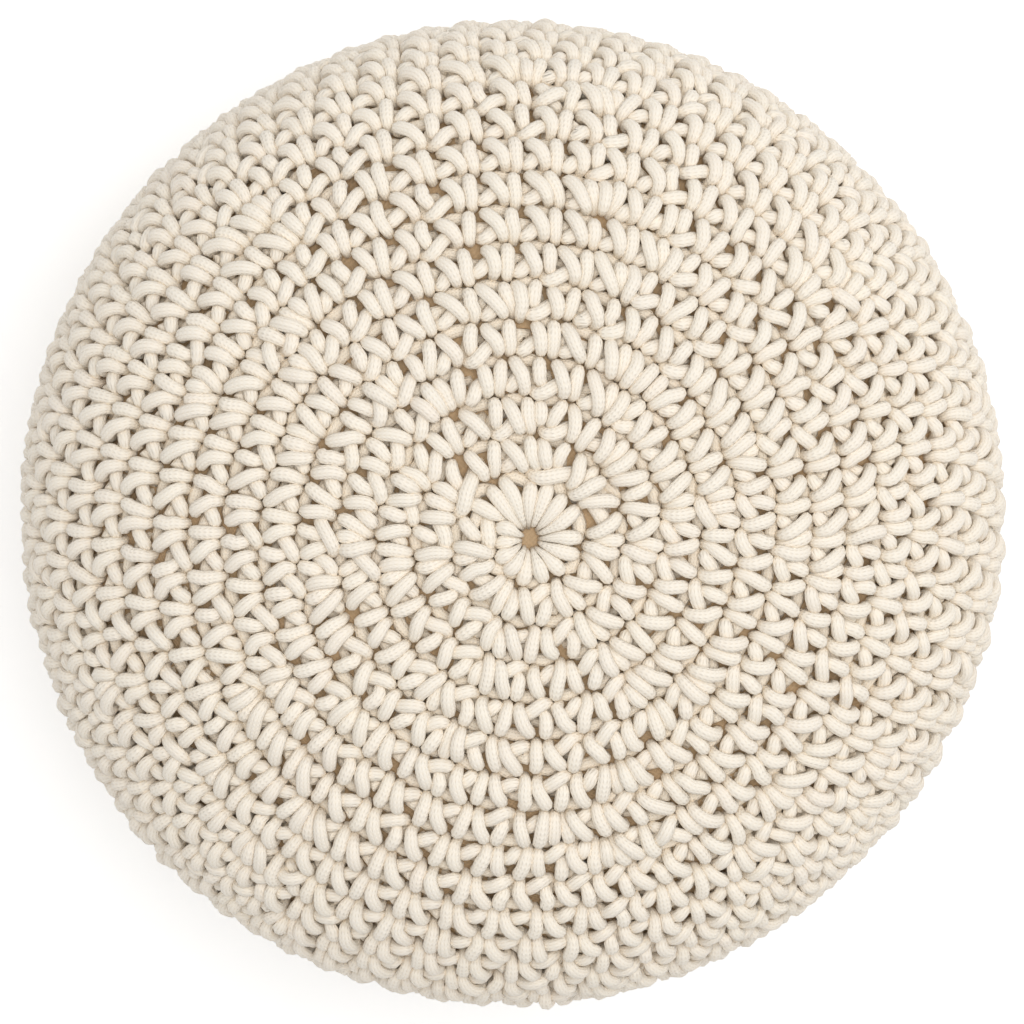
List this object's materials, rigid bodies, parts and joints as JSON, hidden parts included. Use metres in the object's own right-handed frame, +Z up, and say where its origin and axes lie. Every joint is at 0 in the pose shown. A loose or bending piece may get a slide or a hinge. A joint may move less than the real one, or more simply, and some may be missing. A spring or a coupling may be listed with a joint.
{
  "type": "crocheted pouf",
  "caption": "Round floor pouf, a low seat or footrest: a spiral crocheted cover of thick braided cotton cord over a filled cloth bag.",
  "frame": {"origin": "on the floor, at the centre of the flat base", "axes": "+Z up through the middle of the starting ring on top; the pouf is round, so +X is any direction across it"},
  "size_m": [0.499, 0.4992, 0.32],
  "materials": {
    "cotton_cord": "matt cream braided cotton cord, worked in single crochet",
    "bag_cloth": "plain woven tan cotton"
  },
  "bodies": {
    "root": {"crocheted_cover": "cotton_cord", "filled_bag": "bag_cloth"}
  },
  "joints": []
}
